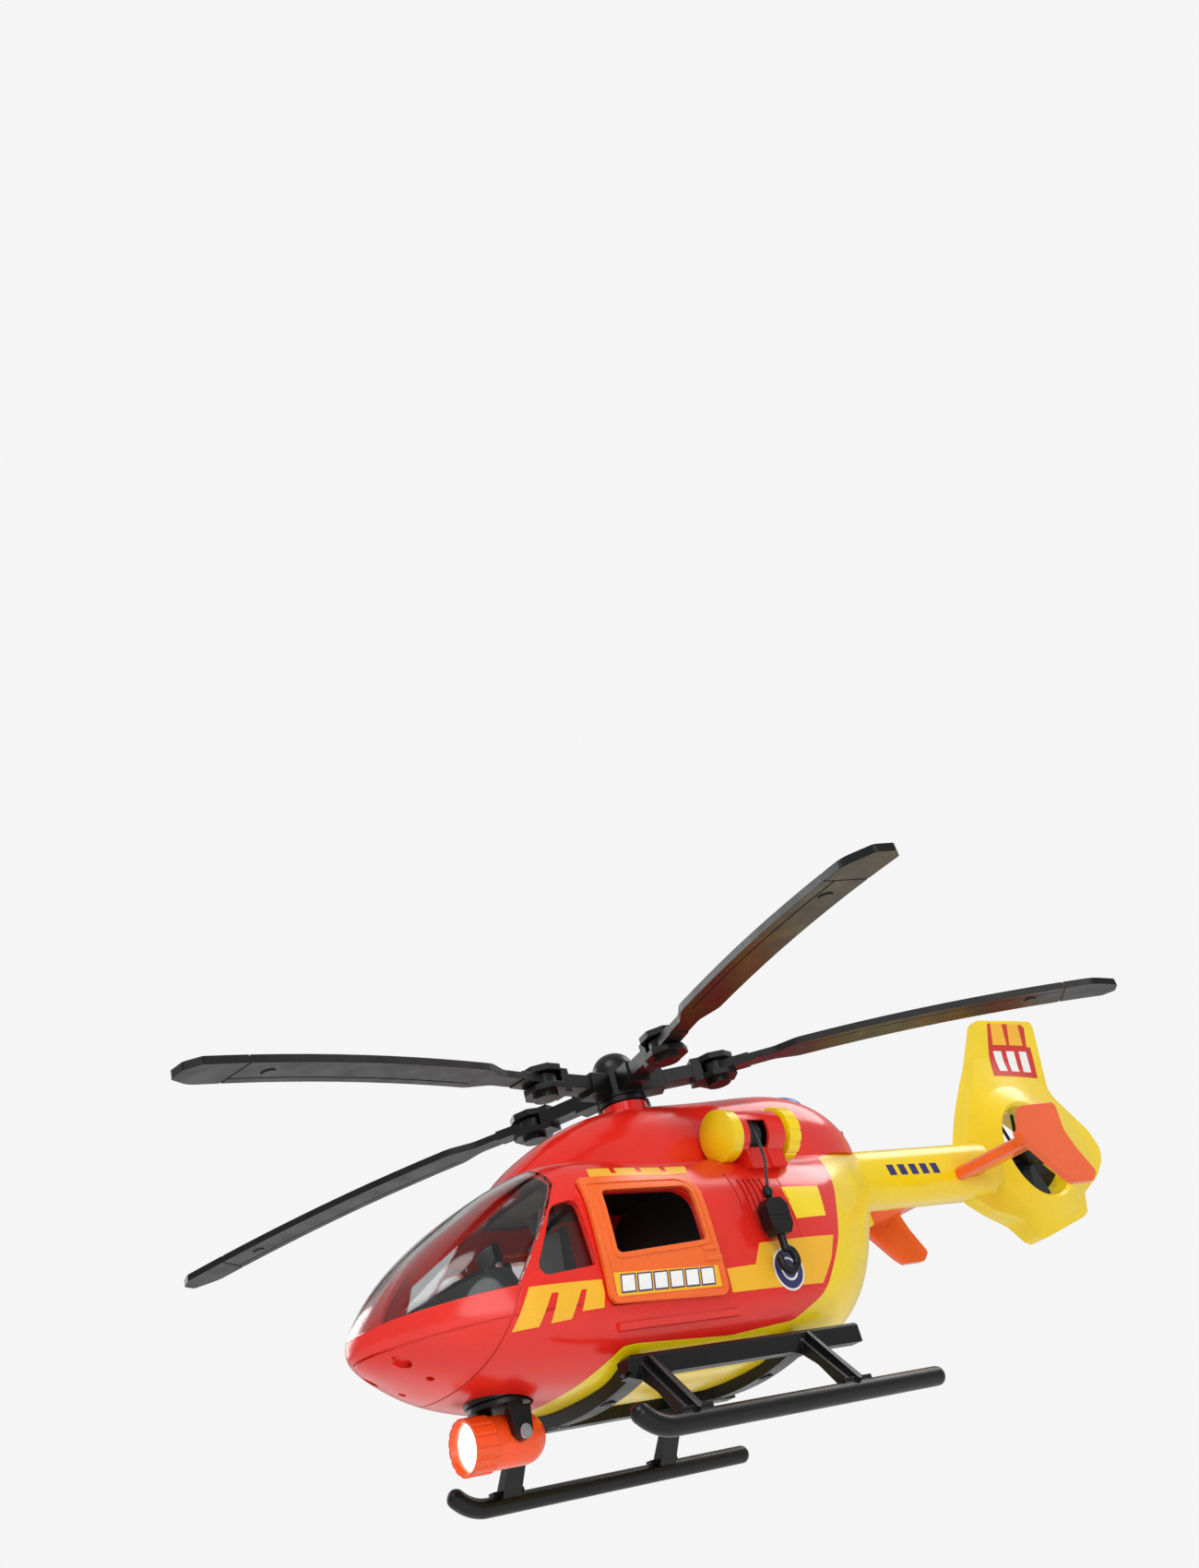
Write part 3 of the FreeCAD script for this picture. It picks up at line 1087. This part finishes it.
# ---- spotlight -------------------------------------------------------------
def build_spot_base():
    """Black plug in the belly that the lamp's yoke turns under."""
    plug = cyl(SPOT_PLATE_R + 0.7, (SPOT_X, 0, 22.2), (SPOT_X, 0, 25.8))
    return plug.cut(cyl(1.6 + SHAFT_CLEARANCE, (SPOT_X, 0, 20), (SPOT_X, 0, 27)))


def build_spot_yoke():
    disc = cyl(SPOT_PLATE_R, (SPOT_X, 0, 20.5), (SPOT_X, 0, 21.9))
    stud = cyl(1.6, (SPOT_X, 0, 21.9), (SPOT_X, 0, 26.2))
    head = cyl(2.6, (SPOT_X, 0, 26.1), (SPOT_X, 0, 27.0))
    parts = [disc, stud, head]
    for side in (1, -1):
        ya, yb = sorted((side * 7.1, side * 9.6))
        yc, yd = sorted((side * 7.1, side * 8.1))
        arm = prism_xz([(SPOT_X - 3.4, 19.2), (SPOT_X + 3.4, 19.2), (SPOT_X + 2.6, SPOT_Z),
                        (SPOT_X, SPOT_Z - 2.6), (SPOT_X - 2.6, SPOT_Z)], ya, yb, [0, 0, 1.2, 1.8, 1.2])
        parts += [arm, box(SPOT_X - 2.2, SPOT_X + 2.2, yc, yd, 19.0, 21.2)]
    return fuse_all(parts).cut(cyl(1.0, (SPOT_X, -20, SPOT_Z), (SPOT_X, 20, SPOT_Z)))


def build_spot_pins():
    pins = []
    for side in (1, -1):
        inner = cyl(1.0, (SPOT_X, side * 5.7, SPOT_Z), (SPOT_X, side * 9.7, SPOT_Z))
        head = cyl(1.8, (SPOT_X, side * 9.6, SPOT_Z), (SPOT_X, side * 10.4, SPOT_Z))
        pins.append(inner.fuse(head))
    return Part.makeCompound(pins)


def build_lamp_body():
    """Round-backed lamp housing, hollow towards the front."""
    dome_x = SPOT_X_SPAN[0] + SPOT_R
    shell = cyl(SPOT_R, (dome_x, 0, SPOT_Z), (BEZEL_X, 0, SPOT_Z)).fuse(
        Part.makeSphere(SPOT_R, vec(dome_x, 0, SPOT_Z)))
    hollow = cyl(SPOT_R - 1.1, (dome_x + 1, 0, SPOT_Z), (BEZEL_X + 1, 0, SPOT_Z))
    bosses = [cyl(2.2, (SPOT_X, side * 5.8, SPOT_Z), (SPOT_X, side * 6.8, SPOT_Z)) for side in (1, -1)]
    body = shell.cut(hollow).fuse(bosses)
    return body.cut(cyl(1.0 + SHAFT_CLEARANCE, (SPOT_X, -20, SPOT_Z), (SPOT_X, 20, SPOT_Z)))


def build_bezel():
    """Scalloped front ring, slightly wider than the lamp's body."""
    front = SPOT_X_SPAN[1]
    ring = scalloped_disc(BEZEL_R, 0.3, 16, BEZEL_X, front, (0, SPOT_Z))
    return ring.cut([cyl(5.6, (BEZEL_X - 1, 0, SPOT_Z), (front + 1, 0, SPOT_Z)),
                     cone(5.6, 6.3, (front - 1.2, 0, SPOT_Z), (front + 0.1, 0, SPOT_Z))])


def build_lens():
    front = SPOT_X_SPAN[1]
    disc = cyl(5.6, (front - 4.2, 0, SPOT_Z), (front - 0.8, 0, SPOT_Z))
    return disc.common(Part.makeSphere(16.0, vec(front - 17.0, 0, SPOT_Z)))


def build_spot_led():
    """LED in its round carrier behind the lens."""
    bulb = cyl(2.4, (73.0, 0, SPOT_Z), (74.8, 0, SPOT_Z)).fuse(Part.makeSphere(2.4, vec(74.8, 0, SPOT_Z)))
    return cyl(SPOT_R - 1.1, (71.6, 0, SPOT_Z), (73.0, 0, SPOT_Z)).fuse(bulb)


# ---- beacon ----------------------------------------------------------------
def build_beacon_lens():
    lens = beacon_form(0.05).cut(beacon_form(1.1))
    return lens.cut(box(-100, -50, -20, 20, 90, BEACON_Z - 0.2))


def build_beacon_led():
    """Lamp under the dome, on a bridge across the cowling."""
    bridge = box(BEACON_X - 4, BEACON_X + 4, -30, 30, 96.8, 98.0).common(cowl_inner)
    lamp = cyl(2.0, (BEACON_X, 0, 98.0), (BEACON_X, 0, BEACON_Z))
    return bridge.fuse([lamp, Part.makeSphere(2.0, vec(BEACON_X, 0, BEACON_Z))])


# ---- write every node ------------------------------------------------------
hull = build_hull()
tub = build_tub()
port_half, starboard_half = build_tail()
door_port = build_door(1)
blade = build_blade()
cord_tube, cord_bends = tube_along(CORD_ROUTE, CORD_D)
print("cord bend radii", [round(r, 1) for r in cord_bends])

save("hull_shell", hull)
save("belly_tub", tub)
save("windscreen", build_windscreen())
save("port_side_window", build_side_window(1))
save("starboard_side_window", build_side_window(-1))
save("dashboard", build_dashboard())
save("cabin_floor", build_cabin_floor())
save("seats", Part.makeCompound([build_seat(1), build_seat(-1)]))
save("port_door", door_port)
save("starboard_door", mirrored(door_port))
save("hull_screws", Part.makeCompound([hull_screw_form(x, y) for x, y in HULL_SCREWS]))
save("tail_half_port", port_half)
save("tail_half_starboard", starboard_half)
save("tail_screws", Part.makeCompound([tail_screw(x, z) for x, z in TAIL_SCREWS]))
save("stabilizer", build_stabilizer())
save("tail_fan", build_tail_fan())
save("fan_axle", cyl(1.0, (DUCT_X, -8.0, DUCT_Z), (DUCT_X, 1.6, DUCT_Z)))
save("landing_gear", build_landing_gear())
save("gear_screws", Part.makeCompound([gear_screw(x, y) for x, y in GEAR_SCREWS]))
save("winch_housing", build_winch_housing())
save("winch_cap", build_winch_cap())
save("winch_drum", build_winch_drum())
save("winch_knob", build_winch_knob())
save("winch_winding", build_winding())
save("winch_cord", cord_tube)
save("cord_knot", build_knot())
save("hook_block", build_hook_block())
save("hook", build_hook())
save("spot_base", build_spot_base())
save("spot_yoke", build_spot_yoke())
save("spot_pins", build_spot_pins())
save("spot_lamp_body", build_lamp_body())
save("spot_bezel", build_bezel())
save("spot_lens", build_lens())
save("spot_led", build_spot_led())
save("beacon_lens", build_beacon_lens())
save("beacon_led", build_beacon_led())
save("rotor_hub", build_hub())
save("hub_cap", build_hub_cap())
save("mast", cyl(MAST_R, (0, 0, 81.8), (0, 0, 112.2)))
save("swash_disc", build_swash())
for i in range(BLADE_COUNT):
    save("blade_" + str(i + 1), placed_blade(blade, i))
save("blade_screws", build_blade_screws())
save("main_gear", build_main_gear())
save("gear_frame", build_gear_frame())
save("motor", build_motor())
save("pinion", build_pinion())
save("battery_box", build_battery_box())
save("battery_cover", build_battery_cover())
save("batteries", build_batteries())
save("battery_contacts", build_battery_contacts())
save("circuit_board", build_circuit_board())
save("speaker", build_speaker())
save("switch_body", build_switch_body())
save("power_switch", build_power_switch())
save("rear_button", build_rear_button())
